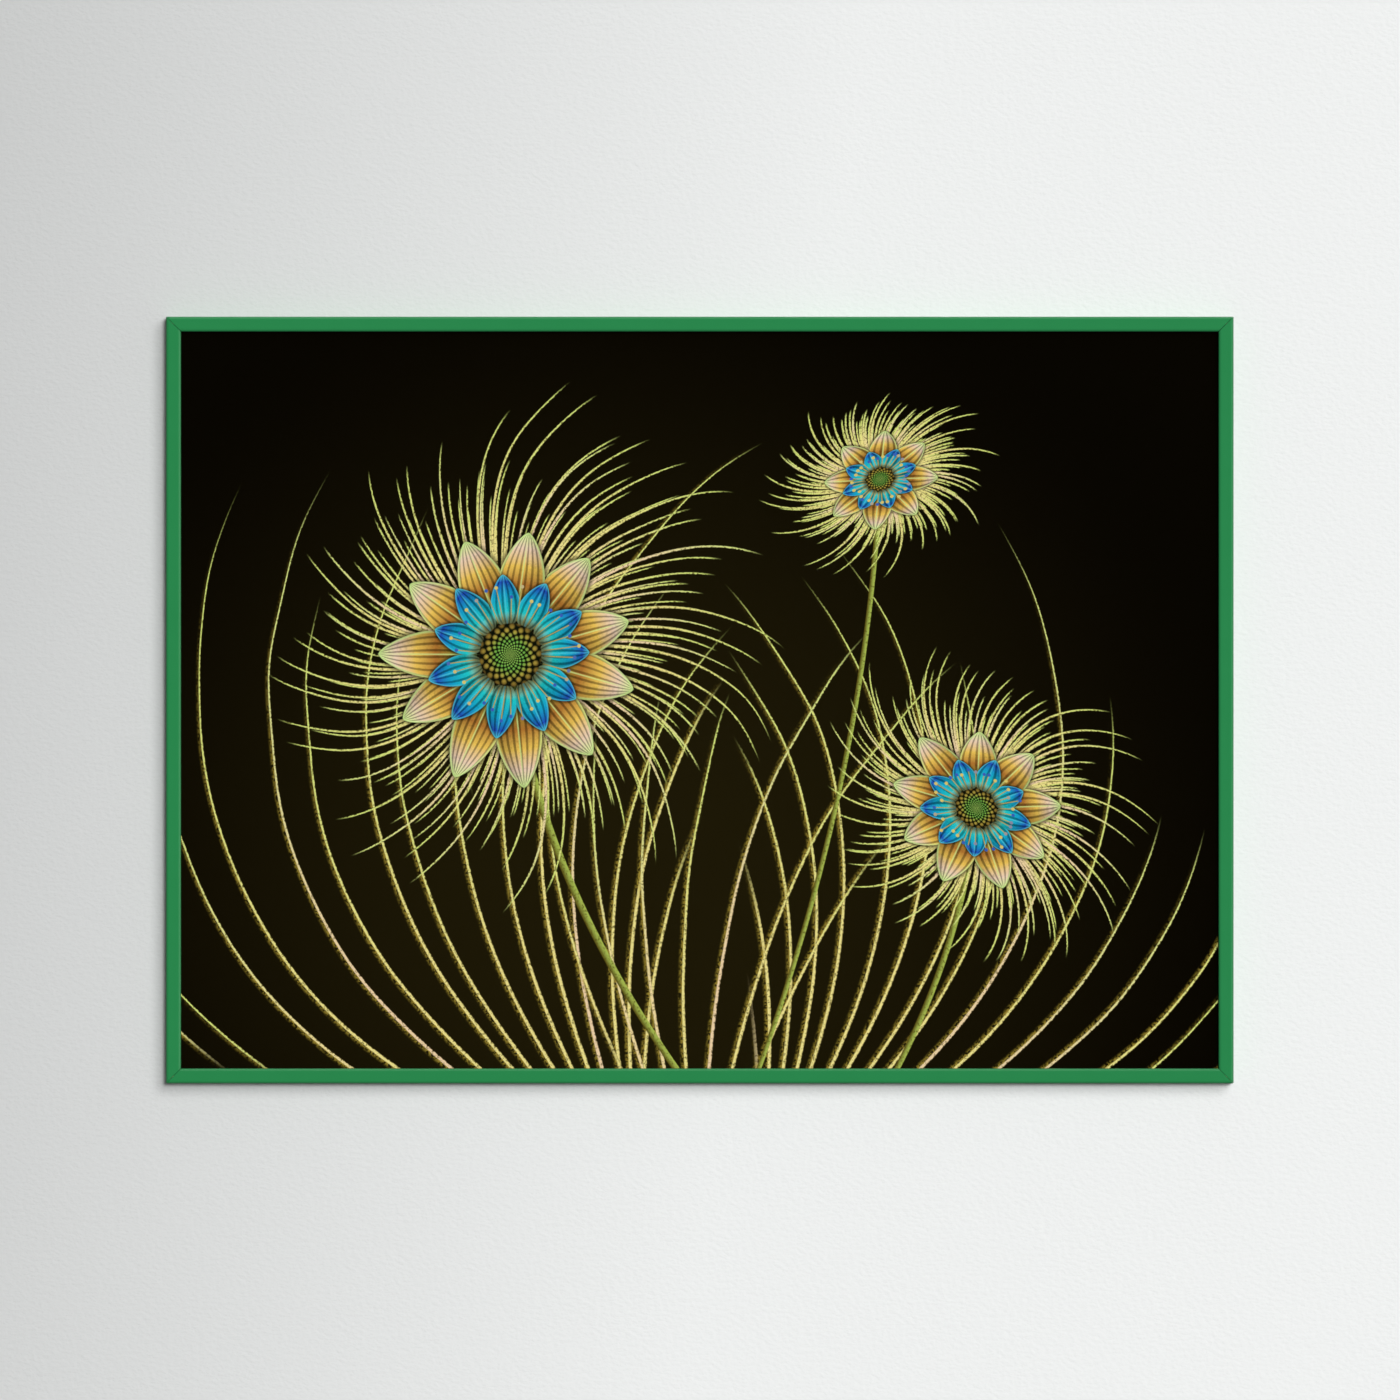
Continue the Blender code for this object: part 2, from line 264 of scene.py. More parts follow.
screed, tree, shader = finish("screed", roughness=0.7)
cloud = noise(place_on(tree), (3, 3, 3), detail=4)
tree.links.new(blend(SCREED_DARK, SCREED_PALE, cloud), shader.inputs["Base Color"])
floor = sheet_of(
    "floor",
    [
        (left, -FLOOR_DEPTH, floor_z),
        (right, -FLOOR_DEPTH, floor_z),
        (right, FLOOR_DEPTH, floor_z),
        (left, FLOOR_DEPTH, floor_z),
    ],
)
floor.data.materials.append(screed)
floor.visible_diffuse = False  # it would light the wall from below
floor.visible_glossy = False  # and veil the print, seen from above

# The key light is a soft window to the upper right. Its shadow on the wall, left of the frame and
# below it, fades fast at first and then slowly over 11 mm, as two discs of sky of unlike size do.
# Each has a share of the light, how far right of straight ahead and above it the disc lies, and
# the disc's radius. The three lengths are shares of its distance.
KEY_LIGHTS = {
    "window": (0.515, 0.118, 0.091, 0.091),
    "sky": (0.395, 0.340, 0.307, 0.242),
}
LIGHT_LEVEL = 0.97
AMBIENT_SHARE = 0.09


def far_lamp(name, level, width, turned):
    """A round light that is as good as endlessly far away.

    A white face square to it looks as bright as its level. Its width and its turns about X, Y and
    Z are in radians.
    """
    light = bpy.data.lights.new(name, "SUN")
    light.energy = math.pi * level
    light.angle = width
    lamp = bpy.data.objects.new(name, light)
    lamp.rotation_euler = turned
    bpy.context.scene.collection.objects.link(lamp)
    return lamp


for name, (share, aside, above, radius) in KEY_LIGHTS.items():
    # The wall faces it at a slant, and gets its share all the same
    slant = math.hypot(1, math.hypot(aside, above))
    turned = (math.pi / 2 - math.atan(above), 0, math.atan(aside))
    lamp = far_lamp(name, LIGHT_LEVEL * share * slant, 2 * math.atan(radius), turned)
    lamp.visible_glossy = False

# Reflections from the far right and from high up, which only gloss shows, pick out the edges
# that face them
GLEAM_LEVEL = 0.30
GLEAM_WIDTH = math.radians(50)
GLEAMS = {"gleam_right": (66, 12), "gleam_above": (12, 66)}  # degrees to the right and up
for name, (right_by, up_by) in GLEAMS.items():
    turned = (math.radians(90 - up_by), 0, math.radians(right_by))
    lamp = far_lamp(name, GLEAM_LEVEL, GLEAM_WIDTH, turned)
    lamp.visible_diffuse = False

# Two lamps behind the wall, for the views of the back: a soft one from above, and a wide faint
# one. Each has its level, and in degrees its width and how far down and aside it is turned.
BACK_LAMPS = {"back_key": (0.7, 40, 50, 25), "back_fill": (0.20, 150, 90, 0)}
for name, (level, wide, down_by, aside_by) in BACK_LAMPS.items():
    turned = (-math.radians(down_by), 0, -math.radians(aside_by))
    far_lamp(name, level, math.radians(wide), turned)

# The light from all round leaves out a cone straight ahead of the picture, so that the clear
# sheet shows no glare.
CONE_EDGE = math.cos(math.radians(32))
CONE_DARK = math.cos(math.radians(14))
SEEN_LEVEL = 0.8  # as the camera sees it, beyond the room
world = bpy.data.worlds.new("room_light")
bpy.context.scene.world = world
world.use_nodes = True
tree = world.node_tree
towards = tree.nodes.new("ShaderNodeTexCoord").outputs["Generated"]
behind = parts_of(towards)[1]
round_light = behind.ramp(-CONE_DARK, -CONE_EDGE) * (AMBIENT_SHARE * LIGHT_LEVEL)
seen = tree.nodes.new("ShaderNodeLightPath").outputs["Is Camera Ray"]
strength = tree.nodes.new("ShaderNodeMix")
feed(Amount(seen), strength.inputs["Factor"])
feed(round_light, strength.inputs["A"])
strength.inputs["B"].default_value = SEEN_LEVEL
background = tree.nodes["Background"]
background.inputs["Color"].default_value = (1, 1, 1, 1)
tree.links.new(strength.outputs["Result"], background.inputs["Strength"])

# The photograph is square on to the wall, and its 1400 pixels span 930.9 mm at the frame's face
CAMERA_AWAY = 10.0
VIEW_WIDTH = 0.9309
VIEW_CENTRE = 0.00015  # the frame hangs this far left of the view's middle
camera_data = bpy.data.cameras.new("camera")
camera_data.lens = camera_data.sensor_width * CAMERA_AWAY / VIEW_WIDTH
camera = bpy.data.objects.new("camera", camera_data)
camera.location = (CENTRE_X + VIEW_CENTRE, FRAME_LOW[1] - CAMERA_AWAY, CENTRE_Z)
camera.rotation_euler = (math.pi / 2, 0, 0)
bpy.context.scene.collection.objects.link(camera)
bpy.context.scene.camera = camera
bpy.context.scene.view_settings.view_transform = "Standard"

# The rails: four lengths of wooden moulding, planed to an L, cut at 45 degrees and glued. Green
# satin lacquer covers the face, the outer side and the lip; the rebate and back stay bare wood.
FACE_WIDTH = 0.010
LIP_THICKNESS = 0.003
REBATE_WALL = 0.004
FRAME_DEPTH = FRAME_HIGH[1] - FRAME_LOW[1]
FRONT_ARRIS = 0.0020
BACK_ARRIS = 0.0006
SMALL_ARRIS = 0.0004  # wider than the mitre's easing, which would turn a finer one inside out
MITRE_EASE = 0.00035  # the rounding of the mitre's edges, which draws the joint as a fine groove
MITRE_GAP = 0.0002
LACQUER_WRAP = 0.0008  # how far the lacquer laps round on to the back of the wall and of the lip
LACQUER_STRAYS = 0.0011  # the width of the band in which its edge wanders
LACQUER_FADES = 0.00008  # half of the width over which its edge thins out
GREENS = (0.0200, 0.243, 0.0715), (0.0232, 0.257, 0.0777)
WOOD_BROWNS = (0.50, 0.33, 0.17), (0.66, 0.48, 0.28)
PORE_BROWN = (0.27, 0.155, 0.07)
LACQUER_ROUGHNESS = 0.40
WOOD_ROUGHNESS = 0.74
PEEL_SHARE = 0.25  # the height of the lacquer's orange peel, by that of the wood's fibres
FIBRE_RELIEF = 0.00012
ON_FACE = 0.00002  # a point nearer to a face than this counts as on it
SHARP_FROM = math.radians(40)  # a crease that turns by more isn't shaded smooth
# Along the rail and outwards from the picture's centre, as (x, z)
RAIL_WAYS = {
    "top": ((1, 0), (0, 1)),
    "right": ((0, -1), (1, 0)),
    "bottom": ((-1, 0), (0, -1)),
    "left": ((0, 1), (-1, 0)),
}


def rounded_section(corners, radii, steps=6, flat=0.00005):
    """A closed outline with an arc in place of each square corner.

    The arc's centre is one radius from the corner along both edges, and the arc swings a quarter
    turn round it. A point a little way along each edge keeps the flats flat when shaded smooth.
    """
    corners = np.array(corners)
    before = np.roll(corners, 1, axis=0) - corners
    after = np.roll(corners, -1, axis=0) - corners
    before /= np.linalg.norm(before, axis=1, keepdims=True)
    after /= np.linalg.norm(after, axis=1, keepdims=True)
    radii = np.array(radii)[:, None, None]
    turn = np.linspace(0, math.pi / 2, steps + 1)[None, :, None]
    middle = corners[:, None] + radii * (before + after)[:, None]
    arcs = middle - radii * (np.cos(turn) * after[:, None] + np.sin(turn) * before[:, None])
    first = corners[:, None] + (radii + flat) * before[:, None]
    last = corners[:, None] + (radii + flat) * after[:, None]
    return np.concatenate([first, arcs, last], axis=1).reshape(-1, 2)


def outward(section):
    """The unit vectors that point out of a closed outline: its tangents, turned a quarter."""
    tangent = np.roll(section, -1, axis=0) - np.roll(section, 1, axis=0)
    normal = np.stack([tangent[:, 1], -tangent[:, 0]], axis=1)
    normal /= np.linalg.norm(normal, axis=1, keepdims=True)
    ahead = np.roll(section, -1, axis=0)
    area = np.sum(section[:, 0] * ahead[:, 1] - ahead[:, 0] * section[:, 1])
    return normal * np.sign(area)


def signed_volume(mesh):
    """The volume inside a closed mesh, negative if its faces point inwards."""
    mesh.calc_loop_triangles()
    corners = np.array([triangle.vertices for triangle in mesh.loop_triangles])
    points = np.empty(len(mesh.vertices) * 3)
    mesh.vertices.foreach_get("co", points)
    a, b, c = np.moveaxis(points.reshape(-1, 3)[corners], 1, 0)
    return np.sum(a * np.cross(b, c)) / 6


def skin(name, points, material, along=None, around=None):
    """A closed piece from a grid of points, rows by columns.

    Neighbours in the grid share a face, the last column meets the first, and the first and last
    rows are closed by one face each. along and around give the UV map its metres.
    """
    rows, columns = points.shape[:2]
    row, column = np.meshgrid(np.arange(rows - 1), np.arange(columns), indexing="ij")
    at_row = np.stack([row, row + 1, row + 1, row], axis=-1)
    at_column = np.stack([column, column, column + 1, column + 1], axis=-1)
    faces = at_row * columns + at_column % columns
    caps = [list(range(columns)), list(range(rows * columns - 1, (rows - 1) * columns - 1, -1))]
    mesh = bpy.data.meshes.new(name)
    mesh.from_pydata(points.reshape(-1, 3), [], faces.reshape(-1, 4).tolist() + caps)
    if along is not None:
        laid_out = np.stack([along[at_row, at_column % columns], around[at_column]], axis=-1)
        loops = np.zeros((len(mesh.loops), 2), np.float32)
        loops[: faces.size] = laid_out.reshape(-1, 2)
        mesh.uv_layers.new(name="laid_out").data.foreach_set("uv", loops.reshape(-1))
    if signed_volume(mesh) < 0:
        mesh.flip_normals()
    mesh.shade_smooth()
    mesh.set_sharp_from_angle(angle=SHARP_FROM)
    mesh.materials.append(material)
    obj = bpy.data.objects.new(name, mesh)
    bpy.context.scene.collection.objects.link(obj)
    return obj


def stands_for(piece, node):
    """The piece joins the root body and takes the node's place in the picture."""
    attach(piece, "root")
    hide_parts(node)


lacquered, tree, shader = finish("green_lacquer")
uv = tree.nodes.new("ShaderNodeUVMap")
uv.uv_map = "laid_out"
where = place_on(tree)
covered = tree.nodes.new("ShaderNodeAttribute")
covered.attribute_name = "lacquer_edge"
ragged = noise(uv.outputs[0], (260, 900, 1), detail=3) - 0.5
inside_edge = Amount(covered.outputs["Fac"]) + ragged * LACQUER_STRAYS
lacquer = inside_edge.ramp(-LACQUER_FADES, LACQUER_FADES)
flow = noise(where, (45, 45, 45), detail=2)
green = blend(*GREENS, flow)
fibre = noise(uv.outputs[0], (14, 900, 1), detail=4, roughness=0.65)
pore = noise(uv.outputs[0], (130, 2600, 1), detail=2).ramp(0.60, 0.72)
wood = blend(*WOOD_BROWNS, fibre)
wood = blend(wood, PORE_BROWN, pore * 0.6)
tree.links.new(blend(wood, green, lacquer), shader.inputs["Base Color"])
peel = noise(where, (700, 700, 700), detail=1)
surface = (peel * PEEL_SHARE) * lacquer + (lacquer * -1 + 1) * fibre
relief(shader, surface, FIBRE_RELIEF)
smoother = LACQUER_ROUGHNESS - WOOD_ROUGHNESS
feed(lacquer * smoother + WOOD_ROUGHNESS, shader.inputs["Roughness"])

for side, (along_way, out_way) in RAIL_WAYS.items():
    half_size = (FRAME_HIGH - FRAME_LOW)[[0, 2]] / 2
    half_length = abs(half_size @ along_way)
    half_height = abs(half_size @ out_way)
    # Inwards from the outer side, and back from the front; it starts on the back of the wall
    section = rounded_section(
        [
            (0, 0),
            (0, -FRAME_DEPTH),
            (FACE_WIDTH, -FRAME_DEPTH),
            (FACE_WIDTH, -FRAME_DEPTH + LIP_THICKNESS),
            (REBATE_WALL, -FRAME_DEPTH + LIP_THICKNESS),
            (REBATE_WALL, 0),
        ],
        [BACK_ARRIS, FRONT_ARRIS, FRONT_ARRIS, SMALL_ARRIS, SMALL_ARRIS, SMALL_ARRIS],
    )
    normal = outward(section)
    # Towards each end the section shrinks along a quarter circle, so the joint's edges are eased.
    # One more row just before it keeps the rest flat when shaded smooth.
    turn = np.linspace(0, math.pi / 2, 5)
    short = np.append(MITRE_EASE * (1 - np.cos(turn)), MITRE_EASE * 1.5)
    shrink = np.append(MITRE_EASE * (1 - np.sin(turn)), 0)
    short = np.concatenate([short, short[::-1]])
    shrink = np.concatenate([shrink, shrink[::-1]])
    end = np.repeat([-1.0, 1.0], len(short) // 2)
    eased = section[None] - normal[None] * shrink[:, None, None]
    inwards, depth = eased[..., 0], eased[..., 1]
    along = end[:, None] * (half_length - inwards - short[:, None] - MITRE_GAP / 2)
    out = half_height - inwards
    points = np.stack(
        [
            CENTRE_X + along * along_way[0] + out * out_way[0],
            FRAME_HIGH[1] + depth,
            CENTRE_Z + along * along_way[1] + out * out_way[1],
        ],
        axis=-1,
    )
    step = np.linalg.norm(np.roll(section, -1, axis=0) - section, axis=1)
    around = np.concatenate([[0], np.cumsum(step)])
    piece = skin(f"moulding_{side}", points, lacquered, along, around)
    # How far inside the lacquer's edge each point lies, in metres: it is below 0 on the bare
    # wood, and well above it on the face, the outer side and the lip
    back = section[:, 1] > -ON_FACE
    behind_lip = section[:, 1] > -FRAME_DEPTH + LIP_THICKNESS - ON_FACE
    unseen = behind_lip & (section[:, 0] > REBATE_WALL / 2)
    edge = np.full(len(section), FRONT_ARRIS)
    edge[unseen] = section[unseen, 0] - (FACE_WIDTH - LACQUER_WRAP)
    edge[back] = LACQUER_WRAP - section[back, 0]
    covered = piece.data.attributes.new("lacquer_edge", "FLOAT", "POINT")
    covered.data.foreach_set("value", np.tile(edge, len(end)).astype(np.float32))
    stands_for(piece, f"rail_{side}")

# The print: one sheet of coated art paper, printed to its edges with fine gold and green threads
# and blue petals on a near-black brown. It is cut to the rebate and lies flat under the front.
HAIR = 0.28  # half of the mm over which a drawn line fades out
NIGHT = (0.0024, 0.0015, 0.0001)
DUSK = (0.0150, 0.0108, 0.0020)
DUSK_CENTRE = (-50, -125)  # mm right of and above the print's middle, as all its places
DUSK_REACH = (440, 60)  # mm at which the dusk begins, and at which it is full
SHADE = (0.004, 0.003, 0.001)  # the soft dark round what lies on top


def turned_polar(east, north, centre, heading, tilt=0.0):
    """Distance from the centre in mm, and the turn from the heading, from -0.5 to 0.5.

    A tilt in radians foreshortens what is drawn, across the heading.
    """
    right_of = east - centre[0]
    above = north - centre[1]
    ahead = right_of * math.cos(heading) + above * math.sin(heading)
    aside = (above * math.cos(heading) - right_of * math.sin(heading)) / math.cos(tilt)
    distance = (ahead * ahead + aside * aside).math("SQRT")
    return distance, aside.math("ARCTAN2", ahead) / math.tau


def dealt(strips, count, seed):
    """Numbers the strips of a full turn that is dealt out to count of them.

    Gives the place across each strip, from -0.5 to 0.5, and three numbers from 0 to 1 that are
    drawn for the strip. Each node is made after those it reads, which saves the renderer room.
    """
    number = strips.math("FLOOR")
    across = strips - number - 0.5
    which = number.math("FLOORED_MODULO", count) + seed
    draw = number.socket.id_data.nodes.new("ShaderNodeTexWhiteNoise")
    draw.noise_dimensions = "1D"
    feed(which, draw.inputs["W"])
    return across, *parts_of(draw.outputs["Color"])


def own_length(distance, reach, longer, shortest):
    """0 where a piece starts and 1 at its own end.

    The reach gives its start and the furthest end. Its own end lies between the shortest share of
    that one and all of it, as its drawn number says.
    """
    start, end = reach
    return (distance - start) / (longer * (end * (1 - shortest)) + (end * shortest - start))


THREAD_DARK = (0.11, 0.075, 0.006)
THREAD_GOLD = (1.0, 0.86, 0.32)
THREAD_ROSE = (1.0, 0.74, 0.46)
THREAD_GREEN = (0.74, 0.92, 0.22)
FRINGE_GOLD = (0.50, 0.36, 0.05)
FRINGE = 3.4  # mm that the hairs along a thread stand out from it


def draw_threads(under, polar, count, reach, width, curl, wander, seed, window=None):
    """Threads that leave a point and curl to one side, drawn over the colour under.

    reach is the distance at which they start and end, in the polar's own unit. A thread's middle
    is a line of even turn, plus curl times the square of its share of the reach. It strays by up
    to half of wander, and leans by itself by up to three eighths of its strip at its end. A window
    is the turn to either side of the heading that has threads, and gives them their hairs.
    """
    distance, millimetres, turn = polar
    share = distance / reach[1]
    bent = turn + share * (share * curl + stray * wander)
    across, lean, longer, bright = dealt(bent * count, count, seed)
    strip = millimetres * (math.tau / count)
    side = (across + (lean - 0.5) * (share * 0.5 + 0.25)) * strip + jag
    along = own_length(distance, reach, longer, shortest=0.65)
    half = (along * -0.6 + 1) * (width / 2)
    shown = along.ramp(0, 0.03) * along.ramp(1, 0.9)
    if window:
        shown = shown * turn.math("ABSOLUTE").ramp(window, window * 0.9)
        hairs = fluff * side.ramp(half + FRINGE, half) * side.ramp(-0.2, 0.2)
        under = blend(under, FRINGE_GOLD, hairs * shown * along.ramp(1, 0.6) * 0.8)
    inked = side.math("ABSOLUTE").ramp(half + HAIR, half - HAIR) * shown
    lit = (side / half).ramp(-1.6, 0.0) * glint
    gold = blend(THREAD_GOLD, THREAD_ROSE, bright.ramp(0.6, 0.9))
    hue = blend(gold, THREAD_GREEN, along.ramp(0.35, 1.0) * 0.8)
    return blend(under, blend(THREAD_DARK, hue, lit * (bright * 0.3 + 0.9)), inked)


def draw_petals(under, polar, count, reach, width, shift, seed, ribs, rungs):
    """A ring of petals whose width swells and shrinks as half a sine wave from foot to tip.

    Ribs run along a petal in even parts of its width, and a soft shade lies round it. Its colour
    goes by the rungs from foot to tip, and its rim and its middle have the last of them.
    """
    distance, millimetres, turn = polar
    across, lean, longer, bright = dealt(turn * count + shift, count, seed)
    side = (across + (lean - 0.5) * 0.12) * millimetres * math.tau / count
    along = own_length(distance, reach, longer, shortest=0.90)
    bulge = (along.math("MAXIMUM", 0).math("POWER", 0.85) * math.pi).math("SINE")
    half = bulge.math("MAXIMUM", 0).math("POWER", 0.7) * (width / 2)
    off_middle = side.math("ABSOLUTE")
    inside = half - off_middle
    shade = inside.ramp(width * -0.16, 0) * along.ramp(1.1, 0.96) * along.ramp(-0.05, 0.1)
    under = blend(under, SHADE, shade * 0.75)
    rib = (side / (half + 0.6) * ribs + ripple).math("SINE").ramp(-0.9, 0.25) * 0.62 + 0.38
    cup = (side / (half + 0.01)).ramp(-1.25, 0.3) * 0.5 + 0.5
    tone = blend((0, 0, 0), ladder(along, rungs), rib * cup * grit * (bright * 0.2 + 1.05))
    rim = inside.ramp(width * 0.07, width * 0.02) * along.ramp(0.25, 0.6)
    midrib = off_middle.ramp(0.7, 0.25) * along.ramp(0.95, 0.7)
    tone = blend(tone, rungs[-1][1], rim.math("MAXIMUM", midrib) * 0.6)
    return blend(under, tone, inside.ramp(-HAIR, HAIR) * along.ramp(1.02, 0.98))


BEAD_GAPS = (0.004, 0.006, 0.002)
SEEDHEAD_RUNGS = [
    (0.0, (0.50, 0.80, 0.16)),
    (0.45, (0.20, 0.52, 0.08)),
    (0.75, (0.52, 0.38, 0.06)),
    (1.0, (0.14, 0.07, 0.015)),
]


def draw_seedhead(under, polar, reach):
    """A dome of beads that lie where two families of spirals cross, 13 one way and 21 the other.

    A spiral's turn goes by the logarithm of its distance, as on a sunflower.
    """
    distance, _, turn = polar
    share = distance / reach
    spiral = (share + 0.02).math("LOGARITHM", math.e)
    one = turn * 13 + spiral * 3.1
    other = turn * 21 - spiral * 2.2
    one = one - one.math("FLOOR") - 0.5
    other = other - other.math("FLOOR") - 0.5
    bead = (one * one + other * other).math("SQRT").ramp(0.52, 0.12)
    tone = ladder(share, SEEDHEAD_RUNGS)
    under = blend(under, SHADE, share.ramp(1.35, 1) * 0.7)
    return blend(under, blend(BEAD_GAPS, tone, bead), share.ramp(1, 0.95))


STAMEN_STALK = (0.55, 0.42, 0.12)
STAMEN_HEADS = (0.05, 0.14, 0.55), (0.85, 0.66, 0.18)


def draw_stamens(under, polar, count, reach, seed):
    """Hair-thin stalks round the seedhead, each with a bead at its end."""
    distance, millimetres, turn = polar
    start, end = reach
    across, lean, longer, bright = dealt(turn * count, count, seed)
    side = (across + (lean - 0.5) * 0.4) * millimetres * (math.tau / count)
    off = (distance / (longer * (end * 0.25) + end * 0.75) - 1) * millimetres
    stalk = side.math("ABSOLUTE").ramp(0.55, 0.15) * off.ramp(0, -0.8)
    stalk = stalk * distance.ramp(start, start * 1.03)
    head = (side * side + off * off).math("SQRT")
    under = blend(under, STAMEN_STALK, stalk)
    tone = blend(*STAMEN_HEADS, bright.ramp(0.35, 0.65))
    return blend(under, tone, head.ramp(1.5, 0.9))


def pick(one, other, which):
    """One number where which is 0, and the other where it is 1."""
    mix = which.socket.id_data.nodes.new("ShaderNodeMix")
    feed(which, mix.inputs["Factor"])
    feed(one, mix.inputs["A"])
    feed(other, mix.inputs["B"])
    return Amount(mix.outputs["Result"])


def nearest_bloom(east, north, blooms):
    """The bloom that a point belongs to, so that one drawing serves them all.

    That is the one of whose radius the point's distance is the smallest share. Gives that share,
    the turn round its centre, its radius in mm, its number of petals and its first seed.
    """
    nearest = None
    for centre, size, tilt, heading, petals, _, seed in blooms:
        heading, tilt = math.radians(heading), math.radians(tilt)
        distance, turn = turned_polar(east, north, centre, heading, tilt)
        found = (distance / size, turn, size, petals, seed)
        if nearest:
            nearer = found[0].math("LESS_THAN", nearest[0])
            found = [pick(one, other, nearer) for one, other in zip(nearest, found)]
        nearest = found
    return nearest


STEM_GREEN = (0.46, 0.56, 0.10)


def draw_stem(under, east, north, top, lean, bow, width):
    """A stalk down from top: its middle moves aside by lean and bow times the drop's square."""
    drop = north * -1 + top[1]
    middle = drop * lean + drop * drop * bow + top[0]
    side = east - middle
    inked = side.math("ABSOLUTE").ramp(width / 2 + HAIR, width / 2 - HAIR) * drop.ramp(-1, 1)
    lit = (side / width).ramp(-0.6, 0.5) * glint
    return blend(under, blend(THREAD_DARK, STEM_GREEN, lit), inked)


OUTER_RUNGS = [
    (0.0, (0.12, 0.34, 0.04)),
    (0.42, (0.50, 0.20, 0.035)),
    (0.62, (0.98, 0.64, 0.12)),
    (0.82, (1.0, 0.74, 0.55)),
    (1.0, (0.74, 0.98, 0.34)),
]
INNER_RUNGS = [
    (0.0, (0.70, 0.60, 0.14)),
    (0.30, (0.02, 0.66, 0.66)),
    (0.62, (0.01, 0.42, 0.68)),
    (0.86, (0.02, 0.09, 0.55)),
    (1.0, (0.10, 0.70, 0.84)),
]

PAPER_SHINE = 0.15

paper, tree, shader = finish("printed_paper", roughness=0.35)
shader.inputs["Specular IOR Level"].default_value = PAPER_SHINE
where = place_on(tree)
x, _, z = parts_of(where)
east = (x - CENTRE_X) * 1000
north = (z - CENTRE_Z) * 1000
speckle = noise(where, (560, 560, 560), detail=2, roughness=0.7)
drift = noise(where, (11, 11, 11), detail=0)
# What the drawings share is worked out once: the renderer has little room for long sums
stray = drift - 0.5
ripple = drift * 5
glint = speckle.ramp(0.36, 0.49) * 0.85 + 0.28
jag = (speckle - 0.5) * 1.6
grit = speckle.ramp(0.34, 0.52) * 0.22 + 0.78
fluff = speckle.ramp(0.44, 0.55)
from_dusk, _ = turned_polar(east, north, DUSK_CENTRE, 0)
picture = blend(NIGHT, DUSK, from_dusk.ramp(*DUSK_REACH))
FAN_THREAD = 2.5  # mm wide at the root
FAN_WANDER = 0.006
FANS = [  # root in mm, heading in degrees, threads in a full turn, reach, curl, half window, seed
    ((-40, -330), 122, 58, (20, 560), 0.11, 0.115, 11),
    ((40, -334), 52, 60, (20, 520), -0.11, 0.115, 31),
    ((0, -350), 91, 46, (20, 420), 0.04, 0.075, 51),
]
for root, heading, count, reach, curl, window, seed in FANS:
    distance, turn = turned_polar(east, north, root, math.radians(heading))
    polar = (distance, distance, turn)
    picture = draw_threads(
        picture, polar, count, reach, FAN_THREAD, curl, FAN_WANDER, seed, window
    )
STEM_WIDTH = 1.6  # mm, and a fiftieth of the bloom's radius more
BLOOMS = [  # centre and radius of the threads in mm, tilt and its heading, petals, stem, first seed
    ((120, 147), 86, 38, 20, 8, (-0.05, -0.0004), 300),
    ((184, -72), 128, 30, 145, 9, (-0.1, -0.0012), 200),
    ((-126, 30), 188, 12, 65, 11, (0.1, 0.0011), 100),
]
for (right, top), size, *_, (lean, bow), _ in BLOOMS:
    width = size * 0.02 + STEM_WIDTH
    picture = draw_stem(picture, east, north, (right, top - 1), lean, bow, width)
share, turn, size, petals, seed = nearest_bloom(east, north, BLOOMS)
polar = (share, share * size, turn)
# The number of threads, their reach by the bloom's radius, their width in mm, curl and wander,
# and what is added to the seed
THREAD_RINGS = [
    (42, (0.2, 1.0), 2.4, 0.075, 0.020, 0),
    (62, (0.2, 0.84), 2.2, 0.055, 0.024, 70),
    (104, (0.2, 0.68), 1.9, 0.035, 0.028, 50),
]
for count, reach, width, curl, wander, more in THREAD_RINGS:
    ring_seed = seed + more if more else seed
    picture = draw_threads(picture, polar, count, reach, width, curl, wander, ring_seed)
# Their reach by the bloom's radius, their width by the radius over the number of petals, their
# ribs for each mm of the radius and besides, their shift in petals, what is added to the seed,
# and their colours
PETAL_RINGS = [
    ((0.12, 0.48), 1.9, (0.03, 2), 0.0, 140, OUTER_RUNGS),
    ((0.10, 0.31), 1.2, (0.02, 1), 0.5, 141, INNER_RUNGS),
]
for reach, broad, (finer, least), shift, more, rungs in PETAL_RINGS:
    width = size / petals * broad
    ribs = (size * finer + least) * math.pi
    picture = draw_petals(
        picture, polar, petals, reach, width, shift, seed + more, ribs, rungs
    )
picture = draw_stamens(picture, polar, 34, (0.12, 0.25), seed + 142)
picture = draw_seedhead(picture, polar, 0.115)
tree.links.new(picture, shader.inputs["Base Color"])


def coat(node, material):
    """The solid stays as it is and gets the material in place of its own."""
    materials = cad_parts[node].data.materials
    materials.clear()
    materials.append(material)


coat("print", paper)

# The front: a 2 mm sheet of clear cast acrylic, saw-cut to fit the rebate and polished. It lies
# against the lip, and the print and the back keep it there.
PANE_IOR = 1.74  # reflects as much from its one drawn face as acrylic's two faces do
PANE_ROUGHNESS = 0.02
PANE_TINT = (0.985, 0.99, 0.988, 1)

